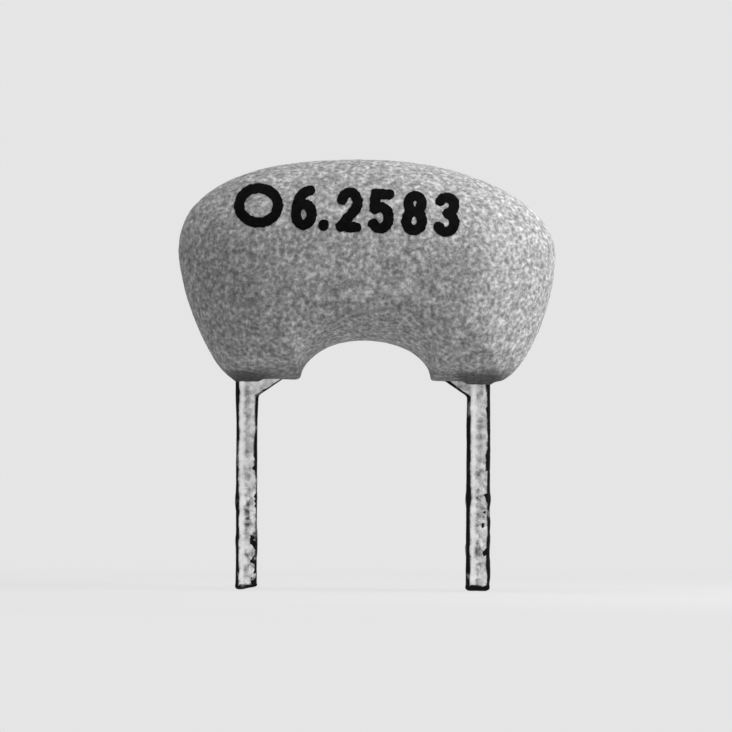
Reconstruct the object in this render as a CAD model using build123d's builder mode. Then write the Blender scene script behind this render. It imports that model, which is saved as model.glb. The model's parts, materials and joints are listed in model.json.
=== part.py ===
"""A two-lead ceramic resonator: a piezo plate held in stamped leads under a dipped coat.

+Z is up, +X runs along the row of leads and the marked face looks towards -Y. The origin
lies midway between the leads on the board's surface, where the leads' shoulders stop.
"""

from build123d import *
import math
import os

# ---- Driving dimensions, in millimetres --------------------------------------------------

# Leads: flat strips stamped from one thickness of sheet.
lead_pitch = 5.0
lead_width = 0.5
lead_thickness = 0.25
lead_length = 4.2
lead_tip_chamfer = 0.06
shoulder_reach = 0.6
shoulder_rise = 0.41
shoulder_height = 0.75
arm_height = 0.45

# Holder at the top of each lead: two folded jaws that grip an end of the plate.
jaw_width = 0.8
jaw_height = 1.1
bridge_depth = 0.25

# Piezo plate, set by its thickness and by the coat left round it, and its silver films.
plate_thickness = 0.35
plate_end_wall = 0.9
plate_top_wall = 0.98
plate_base_wall = 0.76
electrode_thickness = 0.03
electrode_margin = 0.2
electrode_overlap = 2.0

# Solder between plate and jaws.
solder_film = 0.04
solder_bead = 0.12
solder_round = 0.1

# Coat: overall sizes, then the curves of its outline.
coat_width = 8.2
coat_height = 4.8
coat_thickness = 3.6
coat_shift = 0.07
foot_gap = 0.33
foot_cover = 0.1
crown_height = 2.08
arch_width = 2.8
arch_height = 0.86

# Fullness of an outline's curve: 2 is an ellipse, more is squarer, less is slacker.
left_fullness = 2.4
right_fullness = 2.0
left_flank_fullness = 1.45
right_flank_fullness = 1.65

# How the outline changes from the middle plane to a flat face: how far each stretch draws
# in, how far a leg leans inwards, and the share by which it narrows.
crown_round = 1.9
widest_round = 0.3
arch_round = 0.95
leg_fade = 0.55
leg_lean = 0.25
leg_taper = 0.7

# Hollow round the middle of the plate, where it is free to vibrate.
hollow_gap_y = 0.3
hollow_gap_z = 0.25
hollow_wall = 0.15
hollow_round = 0.2

# Number of curve points in a quarter of an outline, and of sections over the thickness.
points_per_quarter = 5
section_count = 9

# ---- Derived sizes and places ------------------------------------------------------------

lead_x = lead_pitch / 2
lead_inner_x = lead_x - lead_width / 2
lead_outer_x = lead_x + lead_width / 2

coat_top_z = foot_gap + coat_height
arch_top_z = foot_gap + arch_height
widest_z = coat_top_z - crown_height

plate_length = coat_width - 2 * plate_end_wall
plate_end_x = plate_length / 2
plate_top_z = coat_top_z - plate_top_wall
plate_bottom_z = arch_top_z + plate_base_wall
plate_height = plate_top_z - plate_bottom_z
plate_z = (plate_top_z + plate_bottom_z) / 2

jaw_gap = plate_thickness + 2 * (electrode_thickness + solder_film)
jaw_inner_x = plate_end_x - jaw_width
jaw_outer_y = jaw_gap / 2 + lead_thickness
bridge_bottom_z = plate_bottom_z - bridge_depth

hollow_end_x = jaw_inner_x - hollow_wall
hollow_half_y = plate_thickness / 2 + hollow_gap_y
hollow_height = plate_height + 2 * hollow_gap_z


def superellipse_quarter(x_0, x_reach, z_0, z_reach, fullness):
    """Points of a quarter curve, from (x_0 + x_reach, z_0) to (x_0, z_0 + z_reach)."""
    points = []
    for step in range(points_per_quarter + 1):
        angle = math.radians(90 * step / points_per_quarter)
        x_share = max(math.cos(angle), 0) ** (2 / fullness)
        z_share = max(math.sin(angle), 0) ** (2 / fullness)
        points.append((x_0 + x_reach * x_share, z_0 + z_reach * z_share))
    return points


def coat_curves(inset):
    """Outline points of the coat where its faces have drawn in by this share, 0 to 1.

    Returns the outer curve, from the right foot over the top to the left foot, and the
    arch between the legs, from the left leg to the right one.
    """
    leg_middle = (lead_outer_x + foot_cover + arch_width / 2) / 2 - leg_lean * inset
    leg_half = (lead_outer_x + foot_cover - arch_width / 2) / 2 * (1 - leg_taper * inset)
    foot_outer_x = leg_middle + leg_half
    foot_inner_x = leg_middle - leg_half
    foot_z = foot_gap + (arch_round + leg_fade) * inset
    side_z = widest_z - widest_round * inset
    half_width = coat_width / 2 - crown_round * inset
    crown = coat_top_z - crown_round * inset - side_z
    flank = half_width - foot_outer_x
    drop = foot_z - side_z

    lower_right = superellipse_quarter(foot_outer_x, flank, side_z, drop, right_flank_fullness)
    upper_right = superellipse_quarter(0, half_width, side_z, crown, right_fullness)
    upper_left = superellipse_quarter(0, -half_width, side_z, crown, left_fullness)
    lower_left = superellipse_quarter(-foot_outer_x, -flank, side_z, drop, left_flank_fullness)
    outer = lower_right[::-1] + upper_right[1:] + upper_left[-2::-1] + lower_left[1:]

    rise = arch_top_z + arch_round * inset - foot_z
    arch_left = superellipse_quarter(0, -foot_inner_x, foot_z, rise, 2)
    arch_right = superellipse_quarter(0, foot_inner_x, foot_z, rise, 2)
    arch = arch_left + arch_right[-2::-1]
    return outer, arch


# ---- Piezo plate -------------------------------------------------------------------------

with BuildPart() as piezo_plate:
    with Locations((0, 0, plate_z)):
        Box(plate_length, plate_thickness, plate_height)
piezo_plate.part.label = "piezo_plate"

# ---- Electrodes: each covers the middle and runs out to its own end of the plate ---------

electrode_length = plate_end_x + electrode_overlap / 2
electrode_x = (plate_end_x - electrode_overlap / 2) / 2
electrode_y = (plate_thickness + electrode_thickness) / 2
electrode_height = plate_height - 2 * electrode_margin

with BuildPart() as front_electrode:
    with Locations((-electrode_x, -electrode_y, plate_z)):
        Box(electrode_length, electrode_thickness, electrode_height)
front_electrode.part.label = "front_electrode"

with BuildPart() as rear_electrode:
    with Locations((electrode_x, electrode_y, plate_z)):
        Box(electrode_length, electrode_thickness, electrode_height)
rear_electrode.part.label = "rear_electrode"

# ---- Right lead: leg, shoulder, arm and the holder's two jaws ----------------------------

arm_left_x = min(lead_inner_x, jaw_inner_x)
arm_right_x = max(lead_outer_x, plate_end_x)

with BuildPart() as right_lead:
    with BuildSketch(Plane.XZ) as leg_profile:
        with BuildLine():
            Polyline(
                (lead_inner_x, -lead_length),
                (lead_outer_x, -lead_length),
                (lead_outer_x, bridge_bottom_z),
                (lead_inner_x, bridge_bottom_z),
                (lead_inner_x, shoulder_height),
                (lead_inner_x - shoulder_reach, shoulder_height),
                (lead_inner_x - shoulder_reach, shoulder_rise),
                (lead_inner_x, 0),
                close=True,
            )
        make_face()
        with Locations(((arm_left_x + arm_right_x) / 2, bridge_bottom_z)):
            Rectangle(arm_right_x - arm_left_x, arm_height, align=(Align.CENTER, Align.MAX))
    extrude(amount=lead_thickness / 2, both=True)
    tip_edges = right_lead.faces().sort_by(Axis.Z)[0].edges()
    chamfer(tip_edges, length=lead_tip_chamfer)
    with Locations((plate_end_x, 0, plate_bottom_z)):
        Box(jaw_width, 2 * jaw_outer_y, bridge_depth, align=(Align.MAX, Align.CENTER, Align.MAX))
    with Locations((plate_end_x, jaw_outer_y, plate_bottom_z)):
        Box(jaw_width, lead_thickness, jaw_height, align=(Align.MAX, Align.MAX, Align.MIN))
    with Locations((plate_end_x, -jaw_outer_y, plate_bottom_z)):
        Box(jaw_width, lead_thickness, jaw_height, align=(Align.MAX, Align.MIN, Align.MIN))
right_lead.part.label = "right_lead"

# ---- Left lead: the same stamping, turned half round -------------------------------------

with BuildPart() as left_lead:
    add(right_lead.part, rotation=(0, 0, 180))
left_lead.part.label = "left_lead"

# ---- Solder: fills the jaws round each end of the plate ----------------------------------

with BuildPart() as right_solder:
    with Locations((plate_end_x + solder_bead, 0, plate_bottom_z)):
        Box(
            jaw_width + solder_bead,
            jaw_gap,
            jaw_height + solder_bead,
            align=(Align.MAX, Align.CENTER, Align.MIN),
        )
    end_face = right_solder.faces().sort_by(Axis.X)[-1]
    fillet(end_face.edges().filter_by(Axis.Z), radius=solder_round)
    add(piezo_plate.part, mode=Mode.SUBTRACT)
    add(front_electrode.part, mode=Mode.SUBTRACT)
    add(rear_electrode.part, mode=Mode.SUBTRACT)
right_solder.part.label = "right_solder"

with BuildPart() as left_solder:
    add(right_solder.part, rotation=(0, 0, 180))
left_solder.part.label = "left_solder"

# ---- Coat: lofted front to back, then hollowed round what it was dipped over -------------

inner_pieces = (
    piezo_plate,
    front_electrode,
    rear_electrode,
    left_lead,
    right_lead,
    left_solder,
    right_solder,
)

with BuildPart() as hollow:
    with Locations((0, 0, plate_z)):
        Box(2 * hollow_end_x, 2 * hollow_half_y, hollow_height)
    fillet(hollow.edges(), radius=hollow_round)

with BuildPart() as coat:
    for index in range(section_count):
        turn = math.radians(-90 + 180 * index / (section_count - 1))
        depth = coat_thickness / 2 * math.sin(turn)
        outer_points, arch_points = coat_curves(1 - math.cos(turn))
        section_plane = Plane(origin=(coat_shift, depth, 0), x_dir=(1, 0, 0), z_dir=(0, -1, 0))
        with BuildSketch(section_plane):
            with BuildLine():
                Spline(*outer_points)
                Line(outer_points[-1], arch_points[0])
                Spline(*arch_points)
                Line(arch_points[-1], outer_points[0])
            make_face()
    loft()
    add(hollow.part, mode=Mode.SUBTRACT)
    for inner in inner_pieces:
        add(inner.part, mode=Mode.SUBTRACT)
coat.part.label = "coat"

# ---- One file for each piece -------------------------------------------------------------

os.makedirs("parts", exist_ok=True)
for piece in (coat, *inner_pieces):
    export_step(piece.part, f"parts/{piece.part.label}.step")
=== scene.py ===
"""Looks of a dipped ceramic resonator: grained coat, printed number, tinned leads."""

import bmesh
import bpy
import json
import math
import numpy as np
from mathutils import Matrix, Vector, noise
from mathutils.bvhtree import BVHTree

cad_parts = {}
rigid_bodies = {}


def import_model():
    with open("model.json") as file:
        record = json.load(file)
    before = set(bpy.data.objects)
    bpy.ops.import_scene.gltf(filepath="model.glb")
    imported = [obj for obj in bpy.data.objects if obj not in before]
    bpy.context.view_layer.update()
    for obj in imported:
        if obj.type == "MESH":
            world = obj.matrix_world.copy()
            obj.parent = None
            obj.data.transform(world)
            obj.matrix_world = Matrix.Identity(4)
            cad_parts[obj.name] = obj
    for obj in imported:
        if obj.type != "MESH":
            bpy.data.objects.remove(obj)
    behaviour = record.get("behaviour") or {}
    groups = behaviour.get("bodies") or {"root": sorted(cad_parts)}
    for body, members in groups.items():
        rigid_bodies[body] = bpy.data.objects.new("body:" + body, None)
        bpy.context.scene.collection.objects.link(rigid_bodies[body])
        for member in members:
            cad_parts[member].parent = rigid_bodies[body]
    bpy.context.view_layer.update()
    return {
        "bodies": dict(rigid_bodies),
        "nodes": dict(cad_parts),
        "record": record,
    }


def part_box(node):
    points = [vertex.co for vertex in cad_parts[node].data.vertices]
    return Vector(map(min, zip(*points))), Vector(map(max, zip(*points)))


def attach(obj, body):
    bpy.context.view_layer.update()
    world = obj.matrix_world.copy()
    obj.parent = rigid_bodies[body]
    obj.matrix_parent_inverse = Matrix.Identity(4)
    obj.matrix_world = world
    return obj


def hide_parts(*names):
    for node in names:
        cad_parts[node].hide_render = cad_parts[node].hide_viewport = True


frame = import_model()

MM = 0.001
BODY = "root" if "root" in frame["bodies"] else sorted(frame["bodies"])[0]

# ---- Sizes, in millimetres ---------------------------------------------------------------

COAT_LOW, COAT_HIGH = [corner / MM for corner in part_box("coat")]
COAT_X = (COAT_LOW.x + COAT_HIGH.x) / 2
COAT_HALF_WIDTH = (COAT_HIGH.x - COAT_LOW.x) / 2
COAT_HALF_DEPTH = (COAT_HIGH.y - COAT_LOW.y) / 2
FOOT_Z = COAT_LOW.z
TOP_Z = COAT_HIGH.z

MOUNTS = {mount["name"]: mount for mount in frame["record"]["mounts"]}
LEAD_X = MOUNTS["right_leg"]["pos_m"][0] / MM
LEAD_WIDTH = 0.5
LEAD_THICKNESS = 0.25
SHOULDER_REACH = 0.6
SHOULDER_RISE = 0.41
LEAD_TIP_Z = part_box("right_lead")[0].z / MM

# The coat's outline, as in the CAD: its places, the fullness of its curves, and how each
# stretch changes from the middle plane to the faces.
CROWN_HEIGHT = 2.08
ARCH_HALF_WIDTH = 1.4
ARCH_RISE = 0.86
FOOT_COVER = 0.1
LEFT_FULLNESS = 2.4
RIGHT_FULLNESS = 2.0
LEFT_FLANK_FULLNESS = 1.45
RIGHT_FLANK_FULLNESS = 1.65
CROWN_ROUND = 1.9
WIDEST_ROUND = 0.3
ARCH_ROUND = 0.95
LEG_FADE = 0.55
LEG_LEAN = 0.25
LEG_TAPER = 0.7

# How the coat's mesh is made: points along a curve and a foot, rings front to back.
CURVE_POINTS = 60
FOOT_POINTS = 14
RING_COUNT = 61
COAT_VOXEL = 0.040
COAT_SMOOTH_STEPS = 12

# Surface of the coat, which starts this clearance inside the CAD's.
SKIN_CLEARANCE = 0.02
FACE_DOME = 0.2
DOME_LIMIT = 1.5
COAT_LEAN = math.radians(0.4)
MENISCUS_REACH = 0.16
MENISCUS_HEIGHT = 0.25
MENISCUS_DROP = 0.07

# A layer of roughness is its height, the size of its features and its seed. The coat's
# layers together are sunk a little and stand no more than so far proud.
COAT_LAYERS = [
    (0.012, 1.1, 3.0),
    (0.008, 0.45, 7.0),
    (0.005, 0.13, 11.0),
    (0.003, 0.07, 17.0),
]
COAT_SINK = 0.006
COAT_PROUD = 0.012

# How a lead's mesh is made: points this close merge, and so do faces this flat together.
LEAD_WELD = 0.0001
LEAD_FLAT = math.radians(1)
LEAD_BEVEL = 0.06
LEAD_VOXEL = 0.021
LEAD_SMOOTH_STEPS = 3

# Surface of the leads: ripples on the free leg, lumps of tin on its lower part, and a tip
# that the cutter flared.
RIPPLE_LAYERS = [(0.006, 0.5, 0.0), (0.004, 0.12, 5.0)]
RIPPLE_SINK = 0.002
RIPPLE_FULL_Z = -0.6
LUMP_SIZE = 0.3
LUMP_HEIGHT = 0.04
LUMP_LEVEL = 0.05
LUMP_SEED = 9.0
LUMP_TOP_Z = -1.2
LUMP_FULL_Z = -2.4
TIP_REACH = 0.14
TIP_FLARE = 0.14

# Print on the front face.
GLYPH_WIDTH = 0.56
GLYPH_HEIGHT = 0.97
ROUND_GLYPH_WIDTH = 1.06
STROKE = 0.225
PRINT_SLOPE = math.radians(-2.6)
PRINT_MIDDLE = (-0.18, 3.99)
RAY_START = 3 * COAT_HALF_DEPTH
INK_PROUD = 0.007
INK_SINK = 0.02
INK_RAGGED = 0.018
INK_RAGS_PER_MM = 14

# How a glyph's mesh is made: squares of this step over its cell and a margin round it,
# whose rim then moves onto the ink's edge in a few bounded steps.
INK_STEP = 0.016
INK_MARGIN = 0.75 * STROKE
RIM_STEPS = 3
RIM_PROBE = 0.002
RIM_LEAST_SLOPE = 0.2
RIM_LONGEST_MOVE = 0.8 * INK_STEP
RIM_LEAST_MOVE = 1e-9


# ---- Small helpers -----------------------------------------------------------------------

def new_object(name, verts_mm, faces):
    """A mesh object in the row frame, from points in millimetres."""
    mesh = bpy.data.meshes.new(name)
    mesh.from_pydata([Vector(v) * MM for v in verts_mm], [], faces)
    mesh.update()
    obj = bpy.data.objects.new(name, mesh)
    bpy.context.scene.collection.objects.link(obj)
    return obj


def bake_modifiers(obj):
    """Makes the modifiers' result the object's own mesh."""
    bpy.context.view_layer.update()
    shown = obj.evaluated_get(bpy.context.evaluated_depsgraph_get())
    baked = bpy.data.meshes.new_from_object(shown)
    obj.modifiers.clear()
    obj.data = baked


def voxel_skin(obj, voxel_mm, smooth_steps):
    """Rebuilds the mesh as even quads and rounds its edges a little."""
    remesh = obj.modifiers.new("remesh", "REMESH")
    remesh.mode = "VOXEL"
    remesh.voxel_size = voxel_mm * MM
    smooth = obj.modifiers.new("smooth", "SMOOTH")
    smooth.factor = 0.5
    smooth.iterations = smooth_steps
    bake_modifiers(obj)
    for polygon in obj.data.polygons:
        polygon.use_smooth = True


def read_points(mesh):
    """Vertex places and normals, in millimetres."""
    count = len(mesh.vertices)
    points = np.zeros(count * 3)
    normals = np.zeros(count * 3)
    mesh.vertices.foreach_get("co", points)
    mesh.vertices.foreach_get("normal", normals)
    return points.reshape(-1, 3) / MM, normals.reshape(-1, 3)


def write_points(mesh, points):
    """Moves the vertices to these places, in millimetres."""
    mesh.vertices.foreach_set("co", (points * MM).ravel())
    mesh.update()


def noise_at(points, scale_mm, seed=0.0):
    """Smooth noise, about -1 to 1, with features of that size."""
    shift = Vector((seed, 2.3 * seed, -1.7 * seed))
    return np.array([noise.noise(Vector(p) / scale_mm + shift) for p in points])


def roughness_at(points, layers, seed=0.0):
    """The layers' heights, added up at each point."""
    return sum(height * noise_at(points, size, seed + own) for height, size, own in layers)


# ---- Coat --------------------------------------------------------------------------------

def quarter(x_0, x_reach, z_0, z_reach, fullness):
    """A quarter of a superellipse, from its side to its end, as an array of (x, z)."""
    angle = np.linspace(0, math.pi / 2, CURVE_POINTS)
    x = x_0 + x_reach * np.clip(np.cos(angle), 0, 1) ** (2 / fullness)
    z = z_0 + z_reach * np.clip(np.sin(angle), 0, 1) ** (2 / fullness)
    return np.stack([x, z], axis=1)


def coat_ring(inset):
    """The coat's outline where its faces have drawn in by this share, 0 to 1."""
    outer = LEAD_X + LEAD_WIDTH / 2 + FOOT_COVER
    leg_middle = (outer + ARCH_HALF_WIDTH) / 2 - LEG_LEAN * inset
    leg_half = (outer - ARCH_HALF_WIDTH) / 2 * (1 - LEG_TAPER * inset)
    foot_outer = leg_middle + leg_half
    foot_inner = leg_middle - leg_half
    foot = FOOT_Z + (ARCH_ROUND + LEG_FADE) * inset
    half_width = COAT_HALF_WIDTH - SKIN_CLEARANCE - CROWN_ROUND * inset
    widest = TOP_Z - CROWN_HEIGHT - WIDEST_ROUND * inset
    crown = TOP_Z - SKIN_CLEARANCE - CROWN_ROUND * inset - widest
    drop = foot - widest
    rise = FOOT_Z + ARCH_RISE + ARCH_ROUND * inset - foot
    flank = half_width - foot_outer
    curves = [
        quarter(foot_outer, flank, widest, drop, RIGHT_FLANK_FULLNESS)[::-1],
        quarter(0, half_width, widest, crown, RIGHT_FULLNESS)[1:],
        quarter(0, -half_width, widest, crown, LEFT_FULLNESS)[-2::-1],
        quarter(-foot_outer, -flank, widest, drop, LEFT_FLANK_FULLNESS)[1:],
        np.linspace((-foot_outer, foot), (-foot_inner, foot), FOOT_POINTS)[1:-1],
        quarter(0, -foot_inner, foot, rise, 2),
        quarter(0, foot_inner, foot, rise, 2)[-2::-1],
        np.linspace((foot_inner, foot), (foot_outer, foot), FOOT_POINTS)[1:-1],
    ]
    return np.concatenate(curves)


def make_coat():
    """The dipped coat: rings from front to back, evened out, then domed, set and grained."""
    verts = []
    for turn in np.linspace(-math.pi / 2, math.pi / 2, RING_COUNT):
        depth = (COAT_HALF_DEPTH - SKIN_CLEARANCE) * math.sin(turn)
        for x, z in coat_ring(1 - math.cos(turn)):
            verts.append((x + COAT_X, depth, z))
    size = len(verts) // RING_COUNT
    front_face = tuple(range(size))
    back_face = tuple(range(len(verts) - 1, len(verts) - size - 1, -1))
    faces = [front_face, back_face]
    for ring in range(RING_COUNT - 1):
        for step in range(size):
            a = ring * size + step
            b = ring * size + (step + 1) % size
            faces.append((b, a, a + size, b + size))
    coat = new_object("coat_skin", verts, faces)
    voxel_skin(coat, COAT_VOXEL, COAT_SMOOTH_STEPS)

    points, normals = read_points(coat.data)
    middle = np.array([COAT_X, 0, (FOOT_Z + TOP_Z) / 2])
    share = (points - middle) / np.array([COAT_HALF_WIDTH, 1, (TOP_Z - FOOT_Z) / 2])
    away = np.minimum(share[:, 0] ** 2 + share[:, 2] ** 2, DOME_LIMIT)
    points[:, 1] *= 1 - FACE_DOME * away / COAT_HALF_DEPTH
    points = with_meniscus(leant(points, middle))
    grain = np.minimum(roughness_at(points, COAT_LAYERS) - COAT_SINK, COAT_PROUD)
    write_points(coat.data, points + normals * grain[:, None])
    return coat


def leant(points, middle):
    """The coat set a little askew on its leads, its right side lower."""
    x, _, z = (points - middle).T
    turned = points.copy()
    turned[:, 0] = middle[0] + x * math.cos(COAT_LEAN) + z * math.sin(COAT_LEAN)
    turned[:, 2] = middle[2] + z * math.cos(COAT_LEAN) - x * math.sin(COAT_LEAN)
    return turned


def with_meniscus(points):
    """Draws the coat's feet down a little where they wet the leads."""
    for side in (-1, 1):
        out_x = np.abs(points[:, 0] - side * LEAD_X) - LEAD_WIDTH / 2
        out_y = np.abs(points[:, 1]) - LEAD_THICKNESS / 2
        gap = np.hypot(np.maximum(out_x, 0), np.maximum(out_y, 0))
        near = np.clip(1 - gap / MENISCUS_REACH, 0, 1) ** 2
        low = np.clip(1 - (points[:, 2] - FOOT_Z) / MENISCUS_HEIGHT, 0, 1)
        points[:, 2] -= MENISCUS_DROP * near * low
    return points


# ---- Leads -------------------------------------------------------------------------------

def make_lead(name, node, seed, width_share, tip_slant):
    """A lead from its CAD shape: rounded shear edges, tin that flowed, a burred end.

    The free leg takes this share of its width, and the tip rises from left to right by
    the slant.
    """
    lead = bpy.data.objects.new(name, frame["nodes"][node].data.copy())
    bpy.context.scene.collection.objects.link(lead)
    lead.data.materials.clear()
    shape = bmesh.new()
    shape.from_mesh(lead.data)
    bmesh.ops.remove_doubles(shape, verts=shape.verts, dist=LEAD_WELD * MM)
    bmesh.ops.dissolve_limit(shape, angle_limit=LEAD_FLAT, verts=shape.verts, edges=shape.edges)
    shape.to_mesh(lead.data)
    shape.free()
    bevel = lead.modifiers.new("bevel", "BEVEL")
    bevel.width = LEAD_BEVEL * MM
    bevel.segments = 3
    bevel.limit_method = "ANGLE"
    voxel_skin(lead, LEAD_VOXEL, LEAD_SMOOTH_STEPS)

    points, normals = read_points(lead.data)
    height = points[:, 2]
    free = np.clip(height / RIPPLE_FULL_Z, 0, 1)
    low = np.clip((height - LUMP_TOP_Z) / (LUMP_FULL_Z - LUMP_TOP_Z), 0, 1)
    ripple = roughness_at(points, RIPPLE_LAYERS, seed) - RIPPLE_SINK
    lumps = np.clip(noise_at(points, LUMP_SIZE, seed + LUMP_SEED) - LUMP_LEVEL, 0, 1)
    points += normals * (free * ripple + low * LUMP_HEIGHT * lumps)[:, None]
    tip = np.clip(1 - (points[:, 2] - LEAD_TIP_Z) / TIP_REACH, 0, 1)
    across = points[:, 0] - np.sign(points[:, 0]) * LEAD_X
    points[:, 0] += across * (TIP_FLARE * tip - free * (1 - width_share))
    points[:, 2] += tip_slant * tip * (across + LEAD_WIDTH / 2)
    points[:, 2] = np.maximum(points[:, 2], LEAD_TIP_Z)
    write_points(lead.data, points)
    return lead


# ---- Print: plain digits drawn as strokes on the coat ------------------------------------

def bow(x, z, x_radius, z_radius, start, end, steps=14):
    """Points on an ellipse's arc, angles in degrees, in a glyph cell of 1 by 1."""
    angles = np.radians(np.linspace(start, end, steps))
    return [(x + x_radius * math.cos(a), z + z_radius * math.sin(a)) for a in angles]


# Strokes of each glyph in that cell. The O is a wide, round zero.
GLYPHS = {
    "O": [bow(0.5, 0.5, 0.5, 0.5, 0, 360, 40)],
    "2": [bow(0.5, 0.70, 0.5, 0.30, 165, -30) + [(0, 0), (1, 0)]],
    "3": [bow(0.45, 0.77, 0.48, 0.23, 150, -80) + bow(0.45, 0.27, 0.53, 0.27, 80, -150)],
    "5": [[(0.95, 1), (0.08, 1), (0.05, 0.56)] + bow(0.45, 0.31, 0.53, 0.31, 120, -145)],
    "6": [bow(0.5, 0.3, 0.5, 0.3, 0, 360, 24), bow(0.80, 0.34, 0.80, 0.66, 185, 88)],
    "8": [bow(0.5, 0.77, 0.42, 0.23, 0, 360, 24), bow(0.5, 0.27, 0.5, 0.27, 0, 360, 24)],
    ".": [[(0.5, 0.03), (0.5, 0.0)]],
}

# Each glyph with the place of its middle along the line, from the line's middle.
PRINT_LINE = [
    ("O", -2.08),
    ("6", -1.10),
    (".", -0.66),
    ("2", -0.13),
    ("5", 0.56),
    ("8", 1.27),
    ("3", 1.97),
]


def stroke_distance(points, strokes):
    """Distance from each point to the nearest stroke line."""
    best = np.full(len(points), np.inf)
    for line in strokes:
        ends = np.array(line)
        for a, b in zip(ends[:-1], ends[1:]):
            span = b - a
            along = np.clip((points - a) @ span / (span @ span), 0, 1)
            away = np.linalg.norm(points - a - along[:, None] * span, axis=1)
            best = np.minimum(best, away)
    return best


def ink_depth(points, strokes, seed):
    """How far each point lies outside the ink's ragged edge, less than 0 inside it."""
    places = [Vector((x * INK_RAGS_PER_MM, z * INK_RAGS_PER_MM, seed)) for x, z in points]
    rags = np.array([noise.noise(place) for place in places])
    return stroke_distance(points, strokes) - STROKE / 2 - INK_RAGGED * rags


def drawn_to_edge(points, strokes, seed):
    """Points of the patch's rim, moved onto the ink's edge."""
    for _ in range(RIM_STEPS):
        level = ink_depth(points, strokes, seed)
        slope_x = (ink_depth(points + [RIM_PROBE, 0], strokes, seed) - level) / RIM_PROBE
        slope_z = (ink_depth(points + [0, RIM_PROBE], strokes, seed) - level) / RIM_PROBE
        slope = np.stack([slope_x, slope_z], axis=1)
        size = np.maximum(np.sum(slope ** 2, axis=1), RIM_LEAST_SLOPE)
        move = -level[:, None] * slope / size[:, None]
        length = np.maximum(np.linalg.norm(move, axis=1), RIM_LEAST_MOVE)
        points = points + move * np.minimum(1, RIM_LONGEST_MOVE / length)[:, None]
    return points


def glyph_patch(character):
    """One glyph as a flat patch of quads: points, faces, and its outline's edges."""
    seed = ord(character)
    width = ROUND_GLYPH_WIDTH if character == "O" else GLYPH_WIDTH
    box = np.array([width - STROKE, GLYPH_HEIGHT - STROKE])
    strokes = [[tuple(np.array(p) * box) for p in line] for line in GLYPHS[character]]
    xs = np.arange(-INK_MARGIN, box[0] + INK_MARGIN, INK_STEP)
    zs = np.arange(-INK_MARGIN, box[1] + INK_MARGIN, INK_STEP)
    grid = np.array([(x, z) for z in zs for x in xs])

    inside = ink_depth(grid, strokes, seed) < 0
    columns = len(xs)
    quads = []
    for row in range(len(zs) - 1):
        for column in range(columns - 1):
            a = row * columns + column
            corners = (a, a + 1, a + 1 + columns, a + columns)
            if all(inside[c] for c in corners):
                quads.append(corners)
    used = sorted({c for quad in quads for c in quad})
    index = {old: new for new, old in enumerate(used)}
    quads = [tuple(index[c] for c in quad) for quad in quads]
    points = grid[used]

    edges = dict.fromkeys(edge for quad in quads for edge in zip(quad, quad[1:] + quad[:1]))
    rim = [(a, b) for a, b in edges if (b, a) not in edges]
    on_rim = sorted({c for edge in rim for c in edge})
    points[on_rim] = drawn_to_edge(points[on_rim], strokes, seed)
    return points - box / 2, quads, rim


def make_print(coat):
    """The digits, laid on the coat's front face as thin closed pads."""
    surface = BVHTree.FromObject(coat, bpy.context.evaluated_depsgraph_get())
    cosine, sine = math.cos(PRINT_SLOPE), math.sin(PRINT_SLOPE)
    slope = np.array([[cosine, -sine], [sine, cosine]])
    verts, faces = [], []
    for character, place in PRINT_LINE:
        flat, quads, rim = glyph_patch(character)
        flat = (flat + [place, 0]) @ slope.T + PRINT_MIDDLE
        start = len(verts)
        count = len(flat)
        for lift in (-INK_PROUD, INK_SINK):
            for x, z in flat:
                origin = Vector((x, -RAY_START, z)) * MM
                hit = surface.ray_cast(origin, Vector((0, 1, 0)))[0]
                verts.append((x, hit.y / MM + lift, z))
        for quad in quads:
            faces.append(tuple(start + c for c in quad))
            faces.append(tuple(start + count + c for c in reversed(quad)))
        for a, b in rim:
            faces.append((start + b, start + a, start + count + a, start + count + b))
    return new_object("printed_number", verts, faces)


# ---- Materials ---------------------------------------------------------------------------

# Places of the colour sockets on a mix node, whose sockets share their names.
COLOUR_A = 6
COLOUR_B = 7
COLOUR_RESULT = 2

# Where the coat is darker near its feet: up from the feet with a ragged edge, and
# out from the middle of each lead, from a strong share to a weak one.
FOOT_DARK_FULL = 0.14
FOOT_DARK_TOP = 0.42
FOOT_DARK_RAGGED = 0.12
FOOT_DARK_NEAR = 0.28
FOOT_DARK_FAR = 0.7
FOOT_DARK_STRONG = 0.85
FOOT_DARK_WEAK = 0.45
FOOT_DARK_GREY = (0.035, 0.035, 0.035)

# Tin on the leads: bands that wander sideways, with a painted highlight stripe near each lead's
# left edge, and flecks, partly uneven tin and partly painted glints, that are strongest low
# down.
BAND_WANDER = 0.11
FLECK_TOP_Z = -0.8
FLECK_FULL_Z = -2.4
FLECK_WEAK = 0.65

# Near-black on the leads, partly bare metal and partly painted shade: in from each edge, and up
# from the cut tip.
LEFT_BARE_AND_SHADE = 0.07
RIGHT_BARE_AND_SHADE = 0.045
BARE_AND_SHADE_FADE = 0.035
BARE_AND_SHADE_GREY = (0.012, 0.012, 0.012)
TIP_BARE_AND_SHADE = 0.17
TIP_BARE_AND_SHADE_FADE = 0.04
TIP_RAGGED = 0.14

# Bites that widen the near-black band along the right edge, deepest low down: partly bare metal,
# partly painted shade.
BITE_DEPTH = 0.12
BITE_TOP_Z = -1.2
BITE_FULL_Z = -2.3
BITE_WEAK = 0.25


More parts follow.
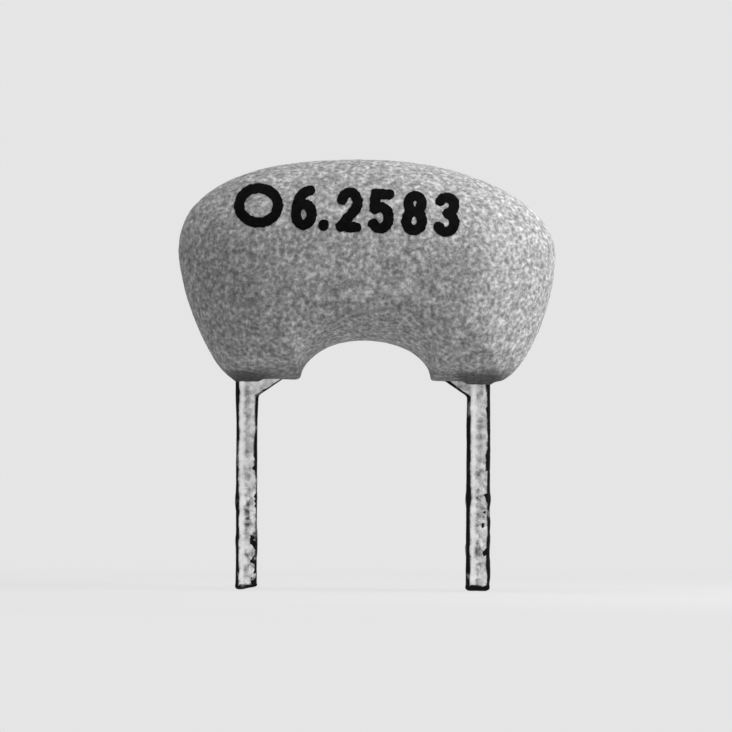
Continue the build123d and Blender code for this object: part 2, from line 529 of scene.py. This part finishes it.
class Shader:
    """The node tree of a material or a world, built a node at a time."""

    def __init__(self, owner, output="ShaderNodeOutputMaterial"):
        self.owner = owner
        owner.use_nodes = True
        self.nodes = owner.node_tree.nodes
        self.links = owner.node_tree.links
        self.nodes.clear()
        self.output = self.nodes.new(output)

    def add(self, kind, **settings):
        """A new node of this kind, with its settings."""
        node = self.nodes.new(kind)
        for key, value in settings.items():
            setattr(node, key, value)
        return node

    def place(self):
        """Object coordinates, which are row-frame metres."""
        return self.add("ShaderNodeTexCoord").outputs["Object"]

    def noise(self, size_mm, detail=2.0, roughness=0.5):
        """Cloudy noise, 0 to 1, with features of that size."""
        node = self.add("ShaderNodeTexNoise")
        node.inputs["Scale"].default_value = 1 / (size_mm * MM)
        node.inputs["Detail"].default_value = detail
        node.inputs["Roughness"].default_value = roughness
        self.links.new(self.place(), node.inputs["Vector"])
        return node.outputs["Fac"]

    def ramp(self, value, stops):
        """Colours between positions 0 and 1, as (position, grey or colour) stops."""
        node = self.add("ShaderNodeValToRGB")
        elements = node.color_ramp.elements
        while len(elements) < len(stops):
            elements.new(0.5)
        for element, (position, colour) in zip(elements, stops):
            element.position = position
            grey = isinstance(colour, (int, float))
            element.color = (*([colour] * 3 if grey else colour), 1)
        self.links.new(value, node.inputs["Fac"])
        return node.outputs["Color"]

    def mix(self, factor, a, b, blend="MIX"):
        """One colour blended with another."""
        node = self.add("ShaderNodeMix", data_type="RGBA", blend_type=blend)
        self.feed(node.inputs["Factor"], factor)
        self.feed(node.inputs[COLOUR_A], a)
        self.feed(node.inputs[COLOUR_B], b)
        return node.outputs[COLOUR_RESULT]

    def math(self, operation, a, b=0.0, clamp=False):
        """A sum on one or two numbers."""
        node = self.add("ShaderNodeMath", operation=operation, use_clamp=clamp)
        self.feed(node.inputs[0], a)
        self.feed(node.inputs[1], b)
        return node.outputs[0]

    def span(self, value, low, high, to_low=0.0, to_high=1.0, shape="SMOOTHSTEP"):
        """A number that goes from one limit to another as the value crosses a span."""
        node = self.add("ShaderNodeMapRange", clamp=True, interpolation_type=shape)
        self.feed(node.inputs["Value"], value)
        node.inputs["From Min"].default_value = low
        node.inputs["From Max"].default_value = high
        node.inputs["To Min"].default_value = to_low
        node.inputs["To Max"].default_value = to_high
        return node.outputs["Result"]

    def axis(self, name):
        """One object coordinate, in metres."""
        node = self.add("ShaderNodeSeparateXYZ")
        self.links.new(self.place(), node.inputs[0])
        return node.outputs[name]

    def facing(self, name):
        """One part of the surface's own direction, in the row frame."""
        node = self.add("ShaderNodeSeparateXYZ")
        self.links.new(self.add("ShaderNodeTexCoord").outputs["Normal"], node.inputs[0])
        return node.outputs[name]

    def bump(self, height, strength, distance_mm):
        """The surface's direction, tipped by a height."""
        node = self.add("ShaderNodeBump")
        node.inputs["Strength"].default_value = strength
        node.inputs["Distance"].default_value = distance_mm * MM
        self.links.new(height, node.inputs["Height"])
        return node.outputs["Normal"]

    def feed(self, socket, value):
        """Gives a socket a link, a colour or a number."""
        if isinstance(value, bpy.types.NodeSocket):
            self.links.new(value, socket)
        elif isinstance(value, tuple):
            socket.default_value = (*value, 1)
        else:
            socket.default_value = value

    def blend(self, factor, a, b):
        """One shader fading into another."""
        node = self.add("ShaderNodeMixShader")
        self.links.new(factor, node.inputs[0])
        self.links.new(a, node.inputs[1])
        self.links.new(b, node.inputs[2])
        return node.outputs[0]

    def shine(self, strength):
        """White light from the surface or background itself."""
        in_world = isinstance(self.owner, bpy.types.World)
        node = self.add("ShaderNodeBackground" if in_world else "ShaderNodeEmission")
        node.inputs["Color"].default_value = (1, 1, 1, 1)
        node.inputs["Strength"].default_value = strength
        return node.outputs[0]

    def finish(self, shader):
        """Makes this shader the one that the owner shows."""
        self.links.new(shader, self.output.inputs["Surface"])
        return self.owner

    def surface(self, colour, roughness, metallic=0.0, normal=None, **constants):
        """A solid surface, with any further constant set straight on its socket."""
        node = self.add("ShaderNodeBsdfPrincipled")
        self.feed(node.inputs["Base Color"], colour)
        self.feed(node.inputs["Roughness"], roughness)
        self.feed(node.inputs["Metallic"], metallic)
        for key, value in constants.items():
            node.inputs[key.replace("_", " ")].default_value = value
        if normal is not None:
            self.links.new(normal, node.inputs["Normal"])
        return self.finish(node.outputs["BSDF"])


def new_material(name):
    """The empty node tree of a new material."""
    return Shader(bpy.data.materials.new(name))


def coat_material():
    """Matte filled epoxy: pale and dark grain, broader mottle, darker near the feet, most above
    each lead.
    """
    s = new_material("coat_epoxy")
    broad = s.ramp(s.noise(1.6, 3), [(0.3, 0.35), (0.7, 0.43)])
    middle = s.ramp(s.noise(0.17, 3, roughness=0.6), [(0.3, 0.18), (0.5, 0.5), (0.7, 0.84)])
    fine = s.ramp(s.noise(0.09, 2, roughness=0.6), [(0.31, 0.20), (0.5, 0.48), (0.68, 0.88)])
    colour = s.mix(0.5, broad, middle, "OVERLAY")
    colour = s.mix(0.8, colour, fine, "OVERLAY")
    # Darker towards the feet, most above each lead, with a ragged upper edge.
    edge = s.math("MULTIPLY", s.noise(0.25, 2), FOOT_DARK_RAGGED * MM)
    height = s.math("ADD", s.axis("Z"), edge)
    low = s.span(height, (FOOT_Z + FOOT_DARK_FULL) * MM, (FOOT_Z + FOOT_DARK_TOP) * MM, 1, 0)
    out = s.math("ABSOLUTE", s.math("SUBTRACT", s.math("ABSOLUTE", s.axis("X")), LEAD_X * MM))
    near = s.span(out, FOOT_DARK_NEAR * MM, FOOT_DARK_FAR * MM, FOOT_DARK_STRONG, FOOT_DARK_WEAK)
    colour = s.mix(s.math("MULTIPLY", low, near), colour, FOOT_DARK_GREY)
    roughness = s.span(s.noise(0.3, 2), 0.3, 0.7, 0.66, 0.82)
    pits = s.mix(0.5, s.noise(0.10, 4, roughness=0.65), s.noise(0.045, 2))
    normal = s.bump(pits, 0.5, 0.02)
    return s.surface(colour, roughness, normal=normal, Specular_IOR_Level=0.3)


def ink_material():
    """Black marking ink, a little thin and grainy."""
    s = new_material("black_ink")
    colour = s.ramp(s.noise(0.10, 4, roughness=0.7), [(0.35, 0.001), (0.75, 0.008)])
    roughness = s.span(s.noise(0.2, 2), 0.3, 0.7, 0.7, 0.85)
    normal = s.bump(s.noise(0.06, 3), 0.3, 0.01)
    return s.surface(colour, roughness, normal=normal, Specular_IOR_Level=0.03)


def lead_material(name, side):
    """Tin plate that flowed in soldering heat, with a painted highlight stripe; near-black bands
    on the edges and tip, partly bare sheared metal, partly painted shade.

    The side is -1 for the left lead and 1 for the right one, whose shoulders face inwards.
    """
    s = new_material(name)
    wander = s.math("SUBTRACT", s.noise(0.35, 3), 0.5)
    wobble = s.math("MULTIPLY", wander, BAND_WANDER * MM)
    across = s.math("SUBTRACT", s.axis("X"), side * LEAD_X * MM)
    # The tin colour carries a painted highlight stripe and partly painted glints.
    tin = tin_and_highlight_colour(s, across, wobble)
    bare_and_shade = bare_and_shade_share(s, across, wobble, side)
    steel = s.ramp(s.noise(0.2, 4, roughness=0.6), [(0.35, 0.10), (0.65, 0.30)])
    sheared = s.span(s.math("ABSOLUTE", s.facing("X")), 0.86, 0.98)
    # Near-black along the edges and tip: partly bare sheared metal, partly painted shade.
    colour = s.mix(bare_and_shade, tin, s.mix(sheared, BARE_AND_SHADE_GREY, steel))
    roughness = s.span(s.noise(0.2, 3), 0.3, 0.7, 0.26, 0.46)
    roughness = s.math("ADD", roughness, s.math("MULTIPLY", bare_and_shade, 0.25), clamp=True)
    height = s.mix(0.4, s.noise(0.16, 3), s.noise(0.05, 3))
    normal = s.bump(height, 0.35, 0.02)
    return s.surface(colour, roughness, 1.0, normal)


def tin_and_highlight_colour(s, across, wobble):
    """Bands along the lead, clouded, with dark and pale flecks: the bright stripe near the left
    edge is a painted highlight, and the flecks are partly uneven tin, partly painted glints.
    """
    half = LEAD_WIDTH / 2 * MM
    # Painted highlight: the stripe near the left edge is brighter than the rest of the tin.
    tin = s.ramp(
        s.span(s.math("ADD", across, wobble), -half, half),
        [(0.0, 0.50), (0.20, 0.90), (0.31, 0.76), (0.44, 0.45), (0.62, 0.43), (0.78, 0.60)],
    )
    cloud = s.ramp(s.noise(0.4, 4, roughness=0.65), [(0.3, 0.26), (0.5, 0.50), (0.7, 0.76)])
    tin = s.mix(0.75, tin, cloud, "OVERLAY")
    # Pale and dark flecks: partly uneven tin, partly painted glints.
    fleck = s.ramp(s.noise(0.16, 3, roughness=0.65), [(0.34, 0.10), (0.47, 0.48), (0.62, 0.92)])
    flecked = s.span(s.axis("Z"), FLECK_FULL_Z * MM, FLECK_TOP_Z * MM, 1, FLECK_WEAK)
    return s.mix(flecked, tin, fleck, "OVERLAY")


def bare_and_shade_share(s, across, wobble, side):
    """How far the lead turns near-black, up to 1: at the sheared edges and sideways-facing
    bevels, in bites and at the tip; partly bare metal, partly painted shade.
    """
    half = LEAD_WIDTH / 2 * MM
    rise, reach = SHOULDER_RISE * MM, SHOULDER_REACH * MM
    shoulder = s.span(s.axis("Z"), 0, rise, 0, reach, "LINEAR")
    from_left = s.math("ADD", s.math("ADD", across, wobble), half)
    from_right = s.math("SUBTRACT", s.math("ADD", half, wobble), across)
    bite = s.span(s.noise(0.22, 2), 0.50, 0.66, 0, BITE_DEPTH * MM)
    bitten = s.span(s.axis("Z"), BITE_FULL_Z * MM, BITE_TOP_Z * MM, 1, BITE_WEAK)
    from_right = s.math("SUBTRACT", from_right, s.math("MULTIPLY", bite, bitten))
    if side > 0:
        from_left = s.math("ADD", from_left, shoulder)
    else:
        from_right = s.math("ADD", from_right, shoulder)
    left = s.span(from_left, LEFT_BARE_AND_SHADE * MM, (LEFT_BARE_AND_SHADE + BARE_AND_SHADE_FADE) * MM, 1, 0)
    right = s.span(from_right, RIGHT_BARE_AND_SHADE * MM, (RIGHT_BARE_AND_SHADE + BARE_AND_SHADE_FADE) * MM, 1, 0)
    # Painted shade: surfaces that turn sideways are darkened.
    edge = s.math("MAXIMUM", s.span(s.math("ABSOLUTE", s.facing("X")), 0.35, 0.75), left)
    edge = s.math("MAXIMUM", edge, right)
    rags = s.math("MULTIPLY", s.noise(0.15, 3), TIP_RAGGED * MM)
    ragged = s.math("ADD", s.axis("Z"), rags)
    tip_top = LEAD_TIP_Z + TIP_BARE_AND_SHADE
    tip = s.span(ragged, tip_top * MM, (tip_top + TIP_BARE_AND_SHADE_FADE) * MM, 1, 0)
    patchy = s.span(s.noise(0.28, 3), 0.30, 0.42, 0.75, 1.0)
    return s.math("MULTIPLY", s.math("MAXIMUM", edge, tip), patchy)


def ceramic_material():
    """Fired piezo ceramic: pale buff, fine grain."""
    s = new_material("piezo_ceramic_body")
    grain = s.ramp(s.noise(0.08, 4), [(0.3, (0.62, 0.55, 0.42)), (0.7, (0.74, 0.68, 0.55))])
    normal = s.bump(s.noise(0.05, 3), 0.2, 0.01)
    return s.surface(grain, s.span(s.noise(0.2, 2), 0.3, 0.7, 0.5, 0.65), normal=normal)


def silver_material():
    """Fired silver film: satin, faintly brushed by the screen."""
    s = new_material("fired_silver")
    colour = s.ramp(s.noise(0.12, 4), [(0.3, (0.70, 0.69, 0.66)), (0.7, (0.88, 0.87, 0.84))])
    normal = s.bump(s.noise(0.04, 3), 0.2, 0.01)
    return s.surface(colour, s.span(s.noise(0.1, 2), 0.3, 0.7, 0.35, 0.5), 1.0, normal)


def solder_material():
    """Solder: grey, softly rippled."""
    s = new_material("solder_joint")
    colour = s.ramp(s.noise(0.25, 4), [(0.3, 0.45), (0.7, 0.68)])
    normal = s.bump(s.noise(0.12, 3), 0.4, 0.02)
    return s.surface(colour, s.span(s.noise(0.2, 2), 0.3, 0.7, 0.3, 0.45), 1.0, normal)


def dress(obj, material):
    """Gives every face of the object this one material."""
    obj.data.materials.clear()
    obj.data.materials.append(material)


# ---- Stage: camera, floor, background and lights -----------------------------------------

# Brightness of the background as seen, and of the light from all round.
BACKDROP = 0.785
AMBIENT = 0.24

# The floor's greys and glow: as seen, and for the light that it sends back. What is seen
# of it fades into the background between these distances from the origin.
FLOOR_GREYS = (0.115, 0.125)
FLOOR_GLOW = 0.680
BOUNCE_GREYS = (0.38, 0.40)
BOUNCE = 0.17
FLOOR_HALF = 3000
FLOOR_GAP = 0.004
FLOOR_FADE_START = 8
FLOOR_FADE_END = 26

# The camera sees this width of the scene at the distance of its aim.
VIEW_WIDTH = 15.81
CAMERA_DISTANCE = 190.0
CAMERA_AIM = Vector((0.065, 0.0, 0.648))
CAMERA_ROLL = math.radians(-0.3)
SENSOR = 36.0

# Each light's name, place, size and power in watts.
LIGHTS = [
    ("key", (25.3, -7.8, 15.0), 12, 0.0082),
    ("top", (-9, -7, 59), 26, 0.0120),
]


def make_camera():
    """A long lens straight in front of the object, turned a little about its own axis."""
    data = bpy.data.cameras.new("camera")
    data.sensor_width = SENSOR
    data.lens = SENSOR * CAMERA_DISTANCE / VIEW_WIDTH
    data.clip_start = 0.001
    data.clip_end = 20
    camera = bpy.data.objects.new("camera", data)
    bpy.context.scene.collection.objects.link(camera)
    camera.location = (CAMERA_AIM + Vector((0, -CAMERA_DISTANCE, 0))) * MM
    camera.rotation_euler = (math.pi / 2, CAMERA_ROLL, 0)
    bpy.context.scene.camera = camera


def seen_ray(s):
    """1 for rays that show the stage or its reflection, 0 for rays that carry its light."""
    path = s.add("ShaderNodeLightPath")
    seen = s.math("MAXIMUM", path.outputs["Is Camera Ray"], path.outputs["Is Glossy Ray"])
    return s.math("MAXIMUM", seen, path.outputs["Is Transmission Ray"])


def make_floor():
    """A pale floor at the leads' tips, which keeps the shadow near the object."""
    half = FLOOR_HALF
    z = LEAD_TIP_Z - FLOOR_GAP
    corners = [(-half, -half, z), (half, -half, z), (half, half, z), (-half, half, z)]
    floor = new_object("floor", corners, [(0, 1, 2, 3)])
    s = new_material("pale_floor")
    bounced = glowing_matte(s, *BOUNCE_GREYS, BOUNCE)
    shown = glowing_matte(s, *FLOOR_GREYS, FLOOR_GLOW)
    away = s.add("ShaderNodeVectorMath", operation="LENGTH")
    s.links.new(s.place(), away.inputs[0])
    far = s.span(away.outputs["Value"], FLOOR_FADE_START * MM, FLOOR_FADE_END * MM)
    seen = s.blend(far, shown, s.shine(BACKDROP))
    dress(floor, s.finish(s.blend(seen_ray(s), bounced, seen)))


def glowing_matte(s, dark, pale, glow):
    """A matte grey surface, slightly clouded, that also shines a little."""
    diffuse = s.add("ShaderNodeBsdfDiffuse")
    s.links.new(s.ramp(s.noise(3.0, 2), [(0.3, dark), (0.7, pale)]), diffuse.inputs["Color"])
    both = s.add("ShaderNodeAddShader")
    s.links.new(diffuse.outputs[0], both.inputs[0])
    s.links.new(s.shine(glow), both.inputs[1])
    return both.outputs[0]


def make_world():
    """Even light from all round, and a pale background for rays that see it."""
    world = bpy.data.worlds.new("world")
    bpy.context.scene.world = world
    s = Shader(world, "ShaderNodeOutputWorld")
    s.finish(s.blend(seen_ray(s), s.shine(AMBIENT), s.shine(BACKDROP)))


def make_light(name, place_mm, size_mm, power):
    """A square soft light that faces the object's middle."""
    data = bpy.data.lights.new(name, "AREA")
    data.shape = "SQUARE"
    data.size = size_mm * MM
    data.energy = power
    light = bpy.data.objects.new(name, data)
    bpy.context.scene.collection.objects.link(light)
    light.location = Vector(place_mm) * MM
    light.visible_camera = False
    aim = CAMERA_AIM * MM - light.location
    light.rotation_euler = aim.to_track_quat("-Z", "Y").to_euler()


# ---- Build -------------------------------------------------------------------------------

make_camera()
coat = make_coat()
ink = make_print(coat)
left_lead = make_lead("left_lead_tinned", "left_lead", seed=21, width_share=0.92, tip_slant=0.14)
right_lead = make_lead("right_lead_tinned", "right_lead", seed=34, width_share=1.04, tip_slant=0)

dress(coat, coat_material())
dress(ink, ink_material())
dress(left_lead, lead_material("tinned_left", -1))
dress(right_lead, lead_material("tinned_right", 1))
silver = silver_material()
solder = solder_material()
dress(frame["nodes"]["piezo_plate"], ceramic_material())
dress(frame["nodes"]["front_electrode"], silver)
dress(frame["nodes"]["rear_electrode"], silver)
dress(frame["nodes"]["left_solder"], solder)
dress(frame["nodes"]["right_solder"], solder)

for piece in (coat, ink, left_lead, right_lead):
    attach(piece, BODY)
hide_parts("coat")
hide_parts("left_lead")
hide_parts("right_lead")

make_floor()
make_world()
for light in LIGHTS:
    make_light(*light)
bpy.context.scene.view_settings.view_transform = "Standard"
